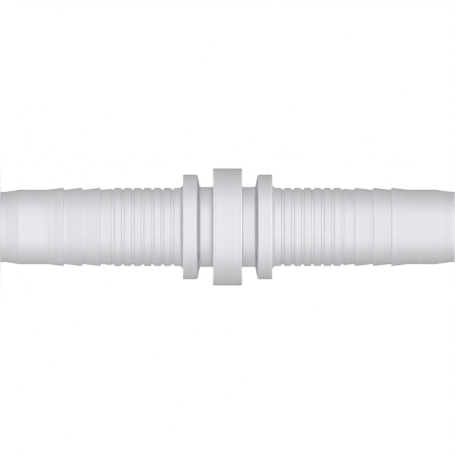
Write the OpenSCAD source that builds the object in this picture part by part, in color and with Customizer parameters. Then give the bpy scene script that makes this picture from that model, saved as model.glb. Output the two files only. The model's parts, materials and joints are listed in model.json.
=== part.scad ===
// Insert of a crimp hose joiner: one turned steel piece that joins two lengths of
// 12.7 mm bore pressure hose. Each tail goes into a hose, and a ferrule, which is not
// part of this piece, is crimped round the hose and closes into the lock groove
// between the flange and the middle collar.
// The axis is Z. The piece stands on one end, centred on the origin, and its upper
// half is the lower half turned over.

/* [Bore] */
// Diameter of the straight bore that carries the fluid
bore_d = 9.4; // [8:0.1:10.4]
// Chamfer at each mouth of the bore
mouth_chamfer = 0.15; // [0.05:0.05:0.4]

/* [Hose tails] */
// Length of each tail, from its tip to the flange
tail_l = 30.9; // [27.5:0.1:40]
// Diameter over the barb crests and the lands, a little over the hose's bore
crest_d = 13.2; // [12.9:0.05:13.4]
// Diameter of the plain stretch and between the barbs
root_d = 12.6; // [12.1:0.05:13]

/* [Nose] */
// Diameter of the short straight tip
tip_d = 11.9; // [11.1:0.05:12.4]
// Length of the short straight tip
tip_l = 0.85; // [0.4:0.05:2]
// Length of the taper that leads the hose on
taper_l = 2.35; // [1:0.05:5]
// Rounding of the tip's outer edge
tip_edge = 0.12; // [0.05:0.01:0.25]

/* [Barbs] */
// Whole barbs on each tail
barb_count = 3; // [1:1:4]
// Distance from one barb to the next
barb_pitch = 3.12; // [2.8:0.02:4]
// Length of a barb's long slope, which faces the tip
barb_ramp = 2.5; // [1.5:0.05:2.8]
// Width of the flat on a barb's crest
barb_land = 0.2; // [0.05:0.01:0.3]
// Length of a barb's steep back, which holds the hose
barb_back = 0.04; // [0.02:0.01:0.3]
// Length of the slope of the last, short barb, which runs into the first groove
short_ramp = 1.4; // [0.8:0.05:2]

/* [Grooves] */
// Grooves round each tail, between the barbs and the flange
groove_count = 7; // [2:1:9]
// Distance from one groove to the next
groove_pitch = 1.68; // [1.2:0.02:2]
// Width of a groove at its mouth
groove_w = 0.55; // [0.5:0.01:0.9]
// Width of a groove's floor
groove_floor = 0.41; // [0.1:0.01:0.48]
// Depth of a groove below the lands
groove_depth = 0.27; // [0.2:0.01:0.45]
// Distance from the flange to the middle of the groove next to it
groove_start = 1.78; // [1.4:0.02:2.4]

/* [Flanges] */
// Diameter of the flange that the ferrule's lip hooks behind
flange_d = 17.7; // [15.5:0.1:19.5]
// Width of the flange's rim
flange_w = 2.45; // [1.5:0.05:4]
// Slope of the flange's face towards the collar, in degrees from square
flange_slope = 11; // [3:1:25]
// Chamfer in the corner between the tail and the flange
flange_root = 0.45; // [0.2:0.05:0.8]
// Rounding of the rim's edge on the hose side
flange_edge = 0.15; // [0.05:0.05:0.4]
// Rounding of the rim's edge on the collar side
flange_nose = 0.35; // [0.1:0.05:0.6]

/* [Lock grooves] */
// Diameter of the groove that the ferrule's lip closes into
lock_d = 13.5; // [12.4:0.1:14.6]
// Width of the lock groove's floor
lock_w = 2.24; // [1.2:0.02:4]
// Fillet in the corners of the lock groove
lock_fillet = 0.25; // [0.05:0.05:0.5]

/* [Collar] */
// Diameter of the round stop collar in the middle
collar_d = 19.8; // [18.2:0.1:26]
// Width of the stop collar
collar_w = 4.9; // [2.5:0.1:10]
// Edge break of the collar
collar_edge = 0.12; // [0.05:0.01:0.4]

/* [Hidden] */

// Steps in each rounded corner, and round the axis
arc_steps = 4;
round_steps = 180;
// Share of the side between two corners that the arc at either corner may take up
arc_share = 0.45;

bore_r = bore_d / 2;
tip_r = tip_d / 2;
root_r = root_d / 2;
crest_r = crest_d / 2;
flange_r = flange_d / 2;
lock_r = lock_d / 2;
collar_r = collar_d / 2;

// Heights above the lower end, from the flange up to the collar
flange_top = tail_l + flange_w;
lock_floor = flange_top + (flange_r - lock_r) * tan(flange_slope);
collar_foot = lock_floor + lock_w;
total_l = 2 * collar_foot + collar_w;

// Heights down the tail from the flange: the groove that is furthest from it, and the
// foot and the top radius of the short barb that ends there
last_groove = tail_l - groove_start - (groove_count - 1) * groove_pitch;
short_foot = last_groove - groove_w / 2 - short_ramp;
short_r = root_r + (crest_r - root_r) * short_ramp / barb_ramp;

// Every corner of the outline is [distance from the axis, height, rounding]
function nose() = [
    [tip_r, 0, tip_edge],
    [tip_r, tip_l, 0],
    [root_r, tip_l + taper_l, 0]
];

// One barb, whose long slope starts at height z
function barb(z) = [
    [root_r, z, 0],
    [crest_r, z + barb_ramp, 0],
    [crest_r, z + barb_ramp + barb_land, 0],
    [root_r, z + barb_ramp + barb_land + barb_back, 0]
];

// One groove round height z; lip_r is the radius of its edge towards the tip
function groove(z, lip_r) = [
    [lip_r, z - groove_w / 2, 0],
    [crest_r - groove_depth, z - groove_floor / 2, 0],
    [crest_r - groove_depth, z + groove_floor / 2, 0],
    [crest_r, z + groove_w / 2, 0]
];

function barbs() = [
    for (i = [barb_count : -1 : 1]) each barb(short_foot - i * barb_pitch)
];

function grooves() = [
    for (i = [0 : groove_count - 1])
        each groove(last_groove + i * groove_pitch, i == 0 ? short_r : crest_r)
];

function flange() = [
    [crest_r, tail_l - flange_root, 0],
    [crest_r + flange_root, tail_l, 0],
    [flange_r, tail_l, flange_edge],
    [flange_r, flange_top, flange_nose],
    [lock_r, lock_floor, lock_fillet]
];

function half_collar() = [
    [lock_r, collar_foot, lock_fillet],
    [collar_r, collar_foot, collar_edge]
];

// The lower half of the outline, from the tip up, and the same half turned over
lower_half = concat(
    nose(), barbs(), [[root_r, short_foot, 0]], grooves(), flange(), half_collar()
);
upper_half = [
    for (i = [len(lower_half) - 1 : -1 : 0])
        [lower_half[i][0], total_l - lower_half[i][1], lower_half[i][2]]
];
bore_side = [
    [bore_r + mouth_chamfer, total_l, 0],
    [bore_r, total_l - mouth_chamfer, 0],
    [bore_r, mouth_chamfer, 0],
    [bore_r + mouth_chamfer, 0, 0]
];

function flat(p) = [p[0], p[1]];
function unit(v) = v / norm(v);

// The arc that rounds corner b between its neighbours a and c
function arc(a, b, c) =
    let (
        to_a = unit(flat(a) - flat(b)),
        to_c = unit(flat(c) - flat(b)),
        half_angle = acos(to_a * to_c) / 2,
        room = arc_share * min(norm(flat(a) - flat(b)), norm(flat(c) - flat(b))),
        tangent = min(b[2] / tan(half_angle), room),
        radius = tangent * tan(half_angle),
        centre = flat(b) + unit(to_a + to_c) * radius / sin(half_angle),
        first = flat(b) + to_a * tangent - centre,
        turn = 180 - 2 * half_angle,
        side = sign(to_c[0] * to_a[1] - to_c[1] * to_a[0]),
        start = atan2(first[1], first[0])
    )
    [
        for (i = [0 : arc_steps])
            let (angle = start + side * turn * i / arc_steps)
            centre + radius * [cos(angle), sin(angle)]
    ];

// A closed outline with every corner that has a rounding turned into its arc
function rounded(corners) = [
    for (i = [0 : len(corners) - 1])
        let (
            before = corners[(i + len(corners) - 1) % len(corners)],
            here = corners[i],
            after = corners[(i + 1) % len(corners)]
        )
        each here[2] > 0 ? arc(before, here, after) : [flat(here)]
];

module hose_joiner() {
    color("gainsboro")
        rotate_extrude($fn = round_steps)
            polygon(rounded(concat(lower_half, upper_half, bore_side)));
}

hose_joiner();
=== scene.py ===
# %% [markdown]
# # A crimp hose joiner insert, turned from steel bar and zinc plated
# The insert joins two lengths of pressure hose: each tail goes into a hose, and a ferrule is
# crimped round it. It is one solid of revolution, so this lesson shapes it as a lathe would.
# It draws one half of the outline as a chain of points, rounds the corners, mirrors the
# chain about the middle of the collar and spins it round the axis.
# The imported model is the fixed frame. It gives the true sizes, and the new mesh stands
# exactly where its solid is, a little finer at the edges.

# %% Load the frame
import json
import math

import bmesh
import bpy
from mathutils import Matrix, Vector


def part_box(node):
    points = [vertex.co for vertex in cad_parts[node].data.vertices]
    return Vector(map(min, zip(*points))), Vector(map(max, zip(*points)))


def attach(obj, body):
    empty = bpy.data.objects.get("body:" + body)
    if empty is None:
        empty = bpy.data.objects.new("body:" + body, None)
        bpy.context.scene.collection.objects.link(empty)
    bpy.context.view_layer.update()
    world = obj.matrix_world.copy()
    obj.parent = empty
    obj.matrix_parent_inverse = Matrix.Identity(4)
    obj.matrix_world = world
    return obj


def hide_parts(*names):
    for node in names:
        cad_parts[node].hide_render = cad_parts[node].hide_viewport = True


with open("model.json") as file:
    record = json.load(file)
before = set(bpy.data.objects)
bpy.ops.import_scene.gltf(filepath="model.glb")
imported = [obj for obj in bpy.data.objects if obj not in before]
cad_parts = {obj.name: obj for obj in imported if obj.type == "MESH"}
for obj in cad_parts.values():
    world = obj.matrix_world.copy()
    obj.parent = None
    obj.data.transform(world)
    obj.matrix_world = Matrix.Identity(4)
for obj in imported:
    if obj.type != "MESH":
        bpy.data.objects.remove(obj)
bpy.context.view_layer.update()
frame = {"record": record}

# %% [markdown]
# ## The sizes
# The mounts in the record hold the sizes that other parts rely on: the bore, the crests that
# the hose is pressed onto and the groove that the ferrule locks into. They are read from
# there, and the box gives the length and the collar. The rest are written where they are
# first needed, in millimetres, because that is how a shop drawing dimensions such a part.

# %% Driving sizes
MM = 0.001
NODE = "hose_joiner"
mounts = {m["name"]: m for m in frame["record"]["mounts"]}
node_low, node_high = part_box(NODE)

total_l = (node_high.z - node_low.z) / MM
middle = total_l / 2
collar_r = (node_high.x - node_low.x) / 2 / MM
bore_r = mounts["flow_bore"]["dims"]["r_mm"]
crest_r = mounts["lower_hose_tail"]["dims"]["r_mm"]
lock_r = mounts["lower_lock_groove"]["dims"]["r_mm"]
lock_w = mounts["lower_lock_groove"]["dims"]["length_mm"]
lock_middle = mounts["lower_lock_groove"]["pos_m"][2] / MM
collar_foot = lock_middle + lock_w / 2
lock_floor = lock_middle - lock_w / 2
print(f"{total_l:.2f} mm long, with a bore of {2 * bore_r:.1f} mm")
print(f"crests {2 * crest_r:.1f} mm and collar {2 * collar_r:.1f} mm across")

# %% [markdown]
# ## The outline, stretch by stretch
# Each corner is a distance from the axis, a height and the radius that the tool leaves on it.
# The corners of a turned part are never quite sharp: the round nose of the cutting tool
# stays in every inner corner, and a light deburr takes off the outer ones. These small
# radii matter more than their size, because they are what catches the light along an edge.
# The piece could be extruded from a ring, stretch by stretch, but a chain of corners reads
# like a drawing and can be rounded before it is spun.

# %% The nose that leads the hose on
tip_r = 5.95
root_r = 6.3
tip_l = 0.85
taper_l = 2.35
mouth_chamfer = 0.15
mouth_deburr = 0.03
deburr = 0.12
blend = 0.3

nose = [
    (bore_r, middle, 0),
    (bore_r, mouth_chamfer, mouth_deburr),
    (bore_r + mouth_chamfer, 0, mouth_deburr),
    (tip_r, 0, deburr),
    (tip_r, tip_l, blend),
    (root_r, tip_l + taper_l, blend),
]
print(f"tip {2 * tip_r:.1f} mm across, taper {taper_l} mm long up to {2 * root_r:.1f} mm")

# %% [markdown]
# ## Barbs and grooves
# The barbs let the hose slide on and bite when it is pulled, so each has a long slope towards
# the tip and a steep back. The narrow grooves give the crimped rubber somewhere to flow.
# Both repeat at an even pitch, so one function draws each and a loop sets them out. The
# flange is the place that they are all counted from.

# %% Barbs
flange_foot = 30.9
groove_count, groove_pitch, groove_start = 7, 1.68, 1.78
groove_w = 0.55
barb_count, barb_pitch = 3, 3.12
barb_ramp, barb_land, barb_back = 2.5, 0.2, 0.04
short_ramp = 1.4
crest_round, foot_round = 0.04, 0.06

first_groove = flange_foot - groove_start - (groove_count - 1) * groove_pitch
short_foot = first_groove - groove_w / 2 - short_ramp
short_r = root_r + (crest_r - root_r) * short_ramp / barb_ramp


def barb(foot):
    """The corners of one barb whose slope starts at that height."""
    crest = foot + barb_ramp
    return [
        (root_r, foot, blend),
        (crest_r, crest, crest_round),
        (crest_r, crest + barb_land, crest_round),
        (root_r, crest + barb_land + barb_back, foot_round),
    ]


barbs = []
for i in range(barb_count, 0, -1):
    barbs += barb(short_foot - i * barb_pitch)
barbs.append((root_r, short_foot, blend))
first_barb = short_foot - barb_count * barb_pitch
print(f"{barb_count} barbs from {first_barb:.2f} mm, a short one at {short_foot:.2f} mm")

# %% Grooves
groove_floor, groove_depth = 0.41, 0.27


def groove(at, lip_r):
    """The corners of one groove round that height, whose edge towards the tip is at lip_r."""
    floor_r = crest_r - groove_depth
    return [
        (lip_r, at - groove_w / 2, crest_round),
        (floor_r, at - groove_floor / 2, foot_round),
        (floor_r, at + groove_floor / 2, foot_round),
        (crest_r, at + groove_w / 2, crest_round),
    ]


grooves = groove(first_groove, short_r)
for i in range(1, groove_count):
    grooves += groove(first_groove + i * groove_pitch, crest_r)
print(f"{groove_count} grooves from {first_groove:.2f} mm, {groove_pitch} mm apart")

# %% [markdown]
# ## Flange, lock groove and collar
# The ferrule's lip hooks behind the flange. Its face towards the collar leans 11 degrees, so
# the crimp draws the ferrule up tight. The collar stops both ferrules and is bare and round.
# They are stretches of the same bar, so they only add corners to the same outline.

# %% The flange, the lock groove and half of the collar
flange_r = 8.85
flange_w = 2.45
flange_root = 0.45
flange_edge, flange_nose = 0.15, 0.35
lock_fillet = 0.25
collar_edge = 0.12

flange = [
    (crest_r, flange_foot - flange_root, blend),
    (crest_r + flange_root, flange_foot, foot_round),
    (flange_r, flange_foot, flange_edge),
    (flange_r, flange_foot + flange_w, flange_nose),
    (lock_r, lock_floor, lock_fillet),
]
collar = [
    (lock_r, collar_foot, lock_fillet),
    (collar_r, collar_foot, collar_edge),
    (collar_r, middle, 0),
]
half_outline = nose + barbs + grooves + flange + collar
print(len(half_outline), "corners in half of the outline")

# %% [markdown]
# ## From the chain to a mesh
# A bmesh holds the chain as vertices joined by edges. bmesh.ops.bevel with VERTICES turns a
# corner of a chain into an arc. It measures its offset along the edges, so the radius is
# turned into that distance first. A layer named edge gets a mark on the inner points of each
# outer arc, up to 1 on a tight one. Inner corners and flats keep 0, so that the finish can
# tell what a hand or a neighbour in the bin can rub.

# %% Rounding one corner
ARC_STEPS = 4
ARC_SHARE = 0.45
SHARP_RADIUS = 0.12


def arc_at(before, here, after):
    """How far along its edges a corner's arc starts, and how exposed it is, from 0 to 1."""
    to_before = Vector(before[:2]) - Vector(here[:2])
    to_after = Vector(after[:2]) - Vector(here[:2])
    opening = to_before.angle(to_after)
    room = ARC_SHARE * min(to_before.length, to_after.length)
    offset = min(here[2] / math.tan(opening / 2), room)
    if to_before.cross(to_after) > 0:
        return offset, 0.0
    turn = (math.pi - opening) / (math.pi / 2)
    return offset, min(1.0, turn * SHARP_RADIUS / here[2])


offset, exposure = arc_at((0, 0), (1, 0, blend), (1, 1))
print(f"a {blend} mm radius starts {offset:.2f} mm from a square corner, exposed {exposure:.1f}")

# %% The half outline as a chain
bm = bmesh.new()
chain = [bm.verts.new((r * MM, 0, z * MM)) for r, z, _ in half_outline]
for lower, upper in zip(chain, chain[1:]):
    bm.edges.new((lower, upper))
edge_layer = bm.verts.layers.float.new("edge")


def round_corner(here, offset, exposure):
    """Turns the chain's vertex at that corner into an arc, and marks the arc's inner points."""
    spot = Vector((here[0] * MM, 0, here[1] * MM))
    corner = min(bm.verts, key=lambda v: (v.co - spot).length)
    arc = bmesh.ops.bevel(
        bm, geom=[corner], offset=offset, offset_type="OFFSET", segments=ARC_STEPS,
        profile=0.5, affect="VERTICES", clamp_overlap=False, material=-1,
    )
    points = set(arc["verts"])
    for v in points:
        if all(e.other_vert(v) in points for e in v.link_edges):
            v[edge_layer] = exposure


for before, here, after in zip(half_outline, half_outline[1:], half_outline[2:]):
    if here[2]:
        offset, exposure = arc_at(before, here, after)
        round_corner(here, offset * MM, exposure)
marked = sum(v[edge_layer] > 0 for v in bm.verts)
print(len(bm.verts), "points in half of the chain,", marked, "of them on outer corners")

# %% [markdown]
# ## Mirror and spin
# The upper half is the lower half mirrored, because the insert is the same from both ends.
# The mirror operator works about the world's own plane and merges only what lies on it, so
# the chain is moved down until the collar's middle is at height 0, mirrored and moved back.
# A spin with use_merge then closes the last step onto the first. 160 steps keep the largest
# radius round to 2 thousandths of a millimetre, which no view can show. Mirror and Screw
# modifiers could do the same, but an operator leaves a mesh that can be counted at once.

# %% Mirror and spin
SPIN_STEPS = 160
SAME_PLACE = 1e-7

bmesh.ops.translate(bm, verts=bm.verts, vec=(0, 0, -middle * MM))
bmesh.ops.mirror(bm, geom=bm.verts[:] + bm.edges[:], merge_dist=SAME_PLACE, axis="Z")
bmesh.ops.translate(bm, verts=bm.verts, vec=(0, 0, middle * MM))
bmesh.ops.spin(
    bm, geom=bm.verts[:] + bm.edges[:], cent=(0, 0, 0), axis=(0, 0, 1),
    angle=math.tau, steps=SPIN_STEPS, use_merge=True,
)
bmesh.ops.remove_doubles(bm, verts=bm.verts, dist=SAME_PLACE)
bmesh.ops.recalc_face_normals(bm, faces=bm.faces)
open_edges = [e for e in bm.edges if len(e.link_faces) != 2]
volume = bm.calc_volume() / MM**3
print(f"{len(bm.faces)} faces, {len(open_edges)} open edges, {volume:.1f} cubic millimetres")

# %% [markdown]
# ## One object that stands for the solid
# The mesh becomes one object at the origin, with its place in its vertices. All faces are
# shaded smooth, and a Weighted Normal modifier keeps the cylinders and flats from being
# bent by the thin arcs beside them: the larger face decides the normal at a shared point.
# The frame then learns which body the piece rides on and which plain solid it hides.

# %% The finished piece
for face in bm.faces:
    face.smooth = True
mesh = bpy.data.meshes.new("turned_insert")
bm.to_mesh(mesh)
bm.free()
insert = bpy.data.objects.new("turned_insert", mesh)
bpy.context.scene.collection.objects.link(insert)
weighted = insert.modifiers.new("even_shading", "WEIGHTED_NORMAL")
weighted.mode = "FACE_AREA"
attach(insert, "root")
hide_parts(NODE)
print(f"{insert.name}: {len(mesh.vertices)} points, {len(mesh.polygons)} faces")

# %% [markdown]
# ## Satin zinc plating over turned steel
# Zinc plating is pale grey, a little cool, and more satin than shiny. Under it the turned
# steel keeps fine rings from the tool's feed. The rings run round the axis on the tails and
# round the middle of every end face, so both come from one number: the height plus the
# distance from the axis, which changes along almost every stretch of the outline.
# The next cells build this with nodes that read Object coordinates, which belong to the
# piece, so the rings stay on it wherever it is put.

# %% Node helpers
steel = bpy.data.materials.new("satin_zinc_plating")
steel.use_nodes = True
tree = steel.node_tree
shader = tree.nodes["Principled BSDF"]


def add(kind, **settings):
    """A new node of the plating's tree with its settings."""
    made = tree.nodes.new(kind)
    for name, value in settings.items():
        setattr(made, name, value)
    return made


def join(source, target):
    """Links an output socket to an input socket."""
    tree.links.new(source, target)


def math_node(operation, a, b):
    """A Math node on two sockets or numbers."""
    made = add("ShaderNodeMath", operation=operation)
    for socket, value in zip(made.inputs, (a, b)):
        if isinstance(value, (int, float)):
            socket.default_value = value
        else:
            join(value, socket)
    return made.outputs[0]


print("a new material starts with", [n.name for n in tree.nodes])

# %% Helpers that mix and spread
NOISE_LOW, NOISE_HIGH = 0.3, 0.7


def mixture(a, b, share):
    """That share of the first socket plus the rest of the second."""
    return math_node("ADD", math_node("MULTIPLY", a, share), math_node("MULTIPLY", b, 1 - share))


def spread(source, low, high):
    """Maps the band that a noise mostly stays in onto low to high."""
    made = add("ShaderNodeMapRange")
    join(source, made.inputs["Value"])
    made.inputs["From Min"].default_value = NOISE_LOW
    made.inputs["From Max"].default_value = NOISE_HIGH
    made.inputs["To Min"].default_value = low
    made.inputs["To Max"].default_value = high
    return made.outputs["Result"]


print(f"a noise counts as low at {NOISE_LOW} and as high at {NOISE_HIGH}")

# %% Where a point lies along the tool's path
place = add("ShaderNodeTexCoord").outputs["Object"]
parts = add("ShaderNodeSeparateXYZ")
join(place, parts.inputs[0])
across = add("ShaderNodeCombineXYZ")
join(parts.outputs["X"], across.inputs["X"])
join(parts.outputs["Y"], across.inputs["Y"])
from_axis = add("ShaderNodeVectorMath", operation="LENGTH")
join(across.outputs[0], from_axis.inputs[0])
feed = math_node("ADD", parts.outputs["Z"], from_axis.outputs["Value"])
print("the tool's path is height plus distance from the axis,", len(tree.nodes), "nodes so far")


# %% Rings and plating grain
def rings(per_mm, detail):
    """Noise that only changes along the tool's path, with that many rings in a millimetre."""
    made = add("ShaderNodeTexNoise", noise_dimensions="1D")
    join(math_node("MULTIPLY", feed, per_mm / MM), made.inputs["W"])
    made.inputs["Scale"].default_value = 1.0
    made.inputs["Detail"].default_value = detail
    return made.outputs[0]


def grain(per_mm, detail):
    """Noise in all directions, with that many spots in a millimetre."""
    made = add("ShaderNodeTexNoise")
    join(place, made.inputs["Vector"])
    made.inputs["Scale"].default_value = per_mm / MM
    made.inputs["Detail"].default_value = detail
    return made.outputs[0]


broad_rings = rings(per_mm=0.9, detail=3.0)
feed_rings = rings(per_mm=5.0, detail=1.0)
clouds = grain(per_mm=0.12, detail=3.0)
crystals = grain(per_mm=4.0, detail=2.0)
print("two sizes of rings and two of grain,", len(tree.nodes), "nodes so far")

# %% [markdown]
# ## The tone
# The tone wanders a little with the rings and with soft clouds of the plating bath, so one
# Mix node fades between two greys. A second one fades to a paler grey on the outer edges,
# where handling has rubbed the plating bright. It could be painted by hand, but the mark
# that each bevel left on its arc follows every edge of the piece by itself.

# %% The tone
DARK_TONE, PALE_TONE = (0.785, 0.788, 0.81), (0.815, 0.818, 0.84)
RUBBED_TONE = (0.90, 0.90, 0.91)
RING_TONE_SHARE = 0.5
COLOUR_A, COLOUR_B, COLOUR_OUT = 6, 7, 2  # a Mix node's colour sockets

colour = add("ShaderNodeMix", data_type="RGBA")
tone = mixture(broad_rings, clouds, RING_TONE_SHARE)
join(spread(tone, 0.0, 1.0), colour.inputs["Factor"])
colour.inputs[COLOUR_A].default_value = (*DARK_TONE, 1)
colour.inputs[COLOUR_B].default_value = (*PALE_TONE, 1)

rubbed = add("ShaderNodeAttribute", attribute_name="edge").outputs["Fac"]
worn = add("ShaderNodeMix", data_type="RGBA")
join(rubbed, worn.inputs["Factor"])
join(colour.outputs[COLOUR_OUT], worn.inputs[COLOUR_A])
worn.inputs[COLOUR_B].default_value = (*RUBBED_TONE, 1)
join(worn.outputs[COLOUR_OUT], shader.inputs["Base Color"])
print(f"greys from {DARK_TONE[0]} to {PALE_TONE[0]}, and {RUBBED_TONE[0]} on rubbed edges")

# %% [markdown]
# ## The gloss
# The plating is half metal and half a dull film of oxide and passivation, which scatters
# light. Its fine crystals shade each other where they are seen edge-on, so the metal's tint
# at a grazing angle is black, and a Specular IOR Level of 0 takes the film's own gloss away.
# On the outer edges the film is rubbed off, so they are more metallic and smoother, and
# catch the light as a thin line.

# %% The gloss
FILM_METAL, RUBBED_METAL = 0.5, 0.8
SATIN_LOW, SATIN_HIGH = 0.57, 0.65
RUBBED_POLISH = 0.15

film = math_node("MULTIPLY", rubbed, RUBBED_METAL - FILM_METAL)
join(math_node("ADD", film, FILM_METAL), shader.inputs["Metallic"])
satin = spread(feed_rings, SATIN_LOW, SATIN_HIGH)
polish = math_node("MULTIPLY", rubbed, RUBBED_POLISH)
join(math_node("SUBTRACT", satin, polish), shader.inputs["Roughness"])
shader.inputs["Specular IOR Level"].default_value = 0.0
shader.inputs["Specular Tint"].default_value = (0, 0, 0, 1)
print(f"{FILM_METAL} to {RUBBED_METAL} metallic, roughness {SATIN_LOW} to {SATIN_HIGH}")

# %% [markdown]
# ## The relief
# The tool's rings and the crystals are a hundredth of a millimetre deep at most, finer than
# any edge. Cut into the mesh they would need millions of faces. A Bump node tilts the
# shading instead, and leaves the outline as it is.

# %% The relief
RELIEF_DEPTH = 0.01
RELIEF_STRENGTH = 0.5
RING_RELIEF_SHARE = 0.6

bump = add("ShaderNodeBump")
bump.inputs["Strength"].default_value = RELIEF_STRENGTH
bump.inputs["Distance"].default_value = RELIEF_DEPTH * MM
join(mixture(feed_rings, crystals, RING_RELIEF_SHARE), bump.inputs["Height"])
join(bump.outputs["Normal"], shader.inputs["Normal"])
insert.data.materials.append(steel)
print(f"{steel.name}: {len(tree.nodes)} nodes, relief up to {RELIEF_DEPTH} mm deep")

# %% [markdown]
# ## The white of the room
# The picture is a catalogue view on white. A plain white world would light the piece evenly
# from all sides and leave it flat. So only rays that come from the camera, or that reach the
# room by a reflection or through glass, see the full white. Every other ray finds a dim
# room, so the white shows in the metal's gloss but adds hardly any other light to it.

# %% Rays that see the white
SEEING_RAYS = ("Is Camera Ray", "Is Glossy Ray", "Is Transmission Ray")


def seen_rays(nodes, links):
    """A socket that is 1 for the seeing rays and 0 for all others."""
    path = nodes.new("ShaderNodeLightPath")
    total = path.outputs[SEEING_RAYS[0]]
    for name in SEEING_RAYS[1:]:
        plus = nodes.new("ShaderNodeMath")
        plus.operation = "ADD"
        plus.use_clamp = True
        links.new(total, plus.inputs[0])
        links.new(path.outputs[name], plus.inputs[1])
        total = plus.outputs[0]
    return total


print("the white is for", SEEING_RAYS)

# %% World
ROOM_LEVEL, WHITE_LEVEL = 0.02, 1.0

world = bpy.data.worlds.new("white_studio")
bpy.context.scene.world = world
world.use_nodes = True
sky = world.node_tree
sky.nodes.clear()
backgrounds = []
for level in (ROOM_LEVEL, WHITE_LEVEL):
    background = sky.nodes.new("ShaderNodeBackground")
    background.inputs["Color"].default_value = (1, 1, 1, 1)
    background.inputs["Strength"].default_value = level
    backgrounds.append(background.outputs[0])
choose = sky.nodes.new("ShaderNodeMixShader")
sky.links.new(seen_rays(sky.nodes, sky.links), choose.inputs["Fac"])
for background, socket in zip(backgrounds, choose.inputs[1:]):
    sky.links.new(background, socket)
world_out = sky.nodes.new("ShaderNodeOutputWorld")
sky.links.new(choose.outputs[0], world_out.inputs["Surface"])
print(f"the room lights the piece at {ROOM_LEVEL} and looks white at {WHITE_LEVEL}")

# %% [markdown]
# ## Floor
# The insert stands on one end, so the floor lies square to its axis. It is pale grey paint
# with a glow that only those same rays see. The glow stands for the light that the white room
# would throw on the paint, so ambient occlusion fades it where the insert hides the room.
# Glow and lit paint together come to about white, so the open floor melts into the room
# without a horizon, and round the foot a soft shadow stays.

# %% Floor
FLOOR_HALF = 0.2

floor_bm = bmesh.new()
bmesh.ops.create_grid(floor_bm, x_segments=1, y_segments=1, size=FLOOR_HALF)
floor_mesh = bpy.data.meshes.new("studio_floor")
floor_bm.to_mesh(floor_mesh)
floor_bm.free()
floor = bpy.data.objects.new("studio_floor", floor_mesh)
bpy.context.scene.collection.objects.link(floor)
print(f"{floor.name}: {2 * FLOOR_HALF} m wide, {len(floor_mesh.polygons)} face")

# %% Floor paint
FLOOR_GREY = 0.8
FLOOR_GLOW = 0.86
SHADOW_REACH = 0.05

paint = bpy.data.materials.new("floor_paint")
paint.use_nodes = True
nodes, links = paint.node_tree.nodes, paint.node_tree.links
nodes.clear()
lit = nodes.new("ShaderNodeBsdfDiffuse")
lit.inputs["Color"].default_value = (FLOOR_GREY, FLOOR_GREY, FLOOR_GREY, 1)
glow = nodes.new("ShaderNodeEmission")
open_sky = nodes.new("ShaderNodeAmbientOcclusion")
open_sky.inputs["Distance"].default_value = SHADOW_REACH
open_sky.inputs["Color"].default_value = (FLOOR_GLOW, FLOOR_GLOW, FLOOR_GLOW, 1)
links.new(open_sky.outputs["Color"], glow.inputs["Color"])
links.new(seen_rays(nodes, links), glow.inputs["Strength"])
both = nodes.new("ShaderNodeAddShader")
links.new(lit.outputs[0], both.inputs[0])
links.new(glow.outputs[0], both.inputs[1])
paint_out = nodes.new("ShaderNodeOutputMaterial")
links.new(both.outputs[0], paint_out.inputs["Surface"])
floor_mesh.materials.append(paint)
print(f"{paint.name}: grey {FLOOR_GREY} with a glow of {FLOOR_GLOW}")

# %% [markdown]
# ## Soft light from both sides
# A polished bar would show the lamps as bright stripes. This one is satin, so two wide soft
# panels, one to each side of the camera, blend into one broad light that falls off towards
# the outline. They hang as low as the floor allows, so that the slopes that face down are lit
# nearly as well as those that face up. A panel behind gives the rims a little light, and one
# above lights the end and the tops of the collar and the flanges. A panel's power follows
# from the level that it adds to a surface that faces it. Together with the white room that
# the metal reflects, the panels make a colour render about as it is written.

# %% How much light a panel gives
LAMP_DISTANCE = 1.5


def sky_share(width, height, distance):
    """The share of a whole sky's light that a panel gives to a surface that faces it."""
    a, b = width / 2 / distance, height / 2 / distance
    wide = a / math.hypot(1, a) * math.atan(b / math.hypot(1, a))
    tall = b / math.hypot(1, b) * math.atan(a / math.hypot(1, b))
    return 2 / math.pi * (wide + tall)


example = sky_share(1, 1, LAMP_DISTANCE)
print(f"a panel 1 m square gives a surface {example:.2f} of a whole sky's light")

# %% A softbox
piece_centre = Vector((0, 0, middle * MM))


def softbox(name, azimuth, elevation, width, height, level):
    """An area lamp that faces the piece. level is what it adds to a surface that faces it."""
    lamp = bpy.data.lights.new(name, "AREA")
    lamp.shape = "RECTANGLE"
    lamp.size = width
    lamp.size_y = height
    lamp.energy = math.pi * width * height * level / sky_share(width, height, LAMP_DISTANCE)
    holder = bpy.data.objects.new(name, lamp)
    bpy.context.scene.collection.objects.link(holder)
    a, e = math.radians(azimuth), math.radians(elevation)
    away = Vector((math.sin(a) * math.cos(e), -math.cos(a) * math.cos(e), math.sin(e)))
    holder.location = piece_centre + away * LAMP_DISTANCE
    holder.rotation_mode = "QUATERNION"
    holder.rotation_quaternion = (-away).to_track_quat("-Z", "Y")
    holder.visible_camera = False


print(f"a softbox hangs {LAMP_DISTANCE} m from the middle of the piece and faces it")

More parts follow.
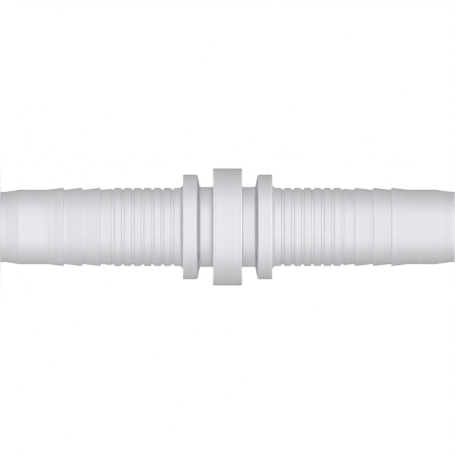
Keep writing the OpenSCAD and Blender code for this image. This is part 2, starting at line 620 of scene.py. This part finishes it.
# %% Lamps
side = {"elevation": 6, "width": 1.8, "height": 0.35, "level": 0.272}
softbox("left_softbox", azimuth=-34, **side)
softbox("right_softbox", azimuth=34, **side)
softbox("back_softbox", azimuth=180, elevation=4.5, width=0.5, height=0.3, level=0.32)
softbox("top_softbox", azimuth=0, elevation=90, width=0.8, height=0.8, level=0.2)
lamps = [o for o in bpy.context.scene.objects if o.type == "LIGHT"]
print("lamps:", {o.name: round(o.data.energy, 2) for o in lamps})

# %% [markdown]
# ## The camera
# The picture shows the insert lying on its side, seen square to its axis and without any
# perspective, as in a drawing. Here it stands on its end, so the camera is rolled a quarter
# turn, with the upper end to the right. A very long lens from far away takes the
# perspective out. Its distance follows from the insert's length in pixels.

# %% Camera
PICTURE_SIDE = 455
LENGTH_PX = 454.4
CENTRE_PX = (227.6, 226.95)
LENS, SENSOR = 1200.0, 36.0
CLIP_END = 10.0
mm_per_px = total_l / LENGTH_PX
view_w = PICTURE_SIDE * mm_per_px * MM
distance = LENS / SENSOR * view_w

camera = bpy.data.cameras.new("camera")
camera.lens = LENS
camera.sensor_width = SENSOR
camera.clip_end = CLIP_END
eye = bpy.data.objects.new("camera", camera)
bpy.context.scene.collection.objects.link(eye)
along = (PICTURE_SIDE / 2 - CENTRE_PX[0]) * mm_per_px * MM
down = (PICTURE_SIDE / 2 - CENTRE_PX[1]) * mm_per_px * MM
eye.location = (down, -distance, middle * MM + along)
# The columns are the camera's right, up and back: the insert's up, its -X and its -Y
turned = Matrix(((0, -1, 0), (0, 0, -1), (1, 0, 0)))
eye.rotation_mode = "QUATERNION"
eye.rotation_quaternion = turned.to_quaternion()
bpy.context.scene.camera = eye
print(f"camera {distance:.2f} m away, {mm_per_px:.4f} mm to a pixel")

# %% [markdown]
# ## The look
# The default view transform bends bright tones like film does. Standard shows a colour as it
# is written, so pale plating stays pale and the white room comes out as pure white.

# %% Look
view = bpy.context.scene.view_settings
view.view_transform = "Standard"
print("view transform", view.view_transform, "with exposure", view.exposure)
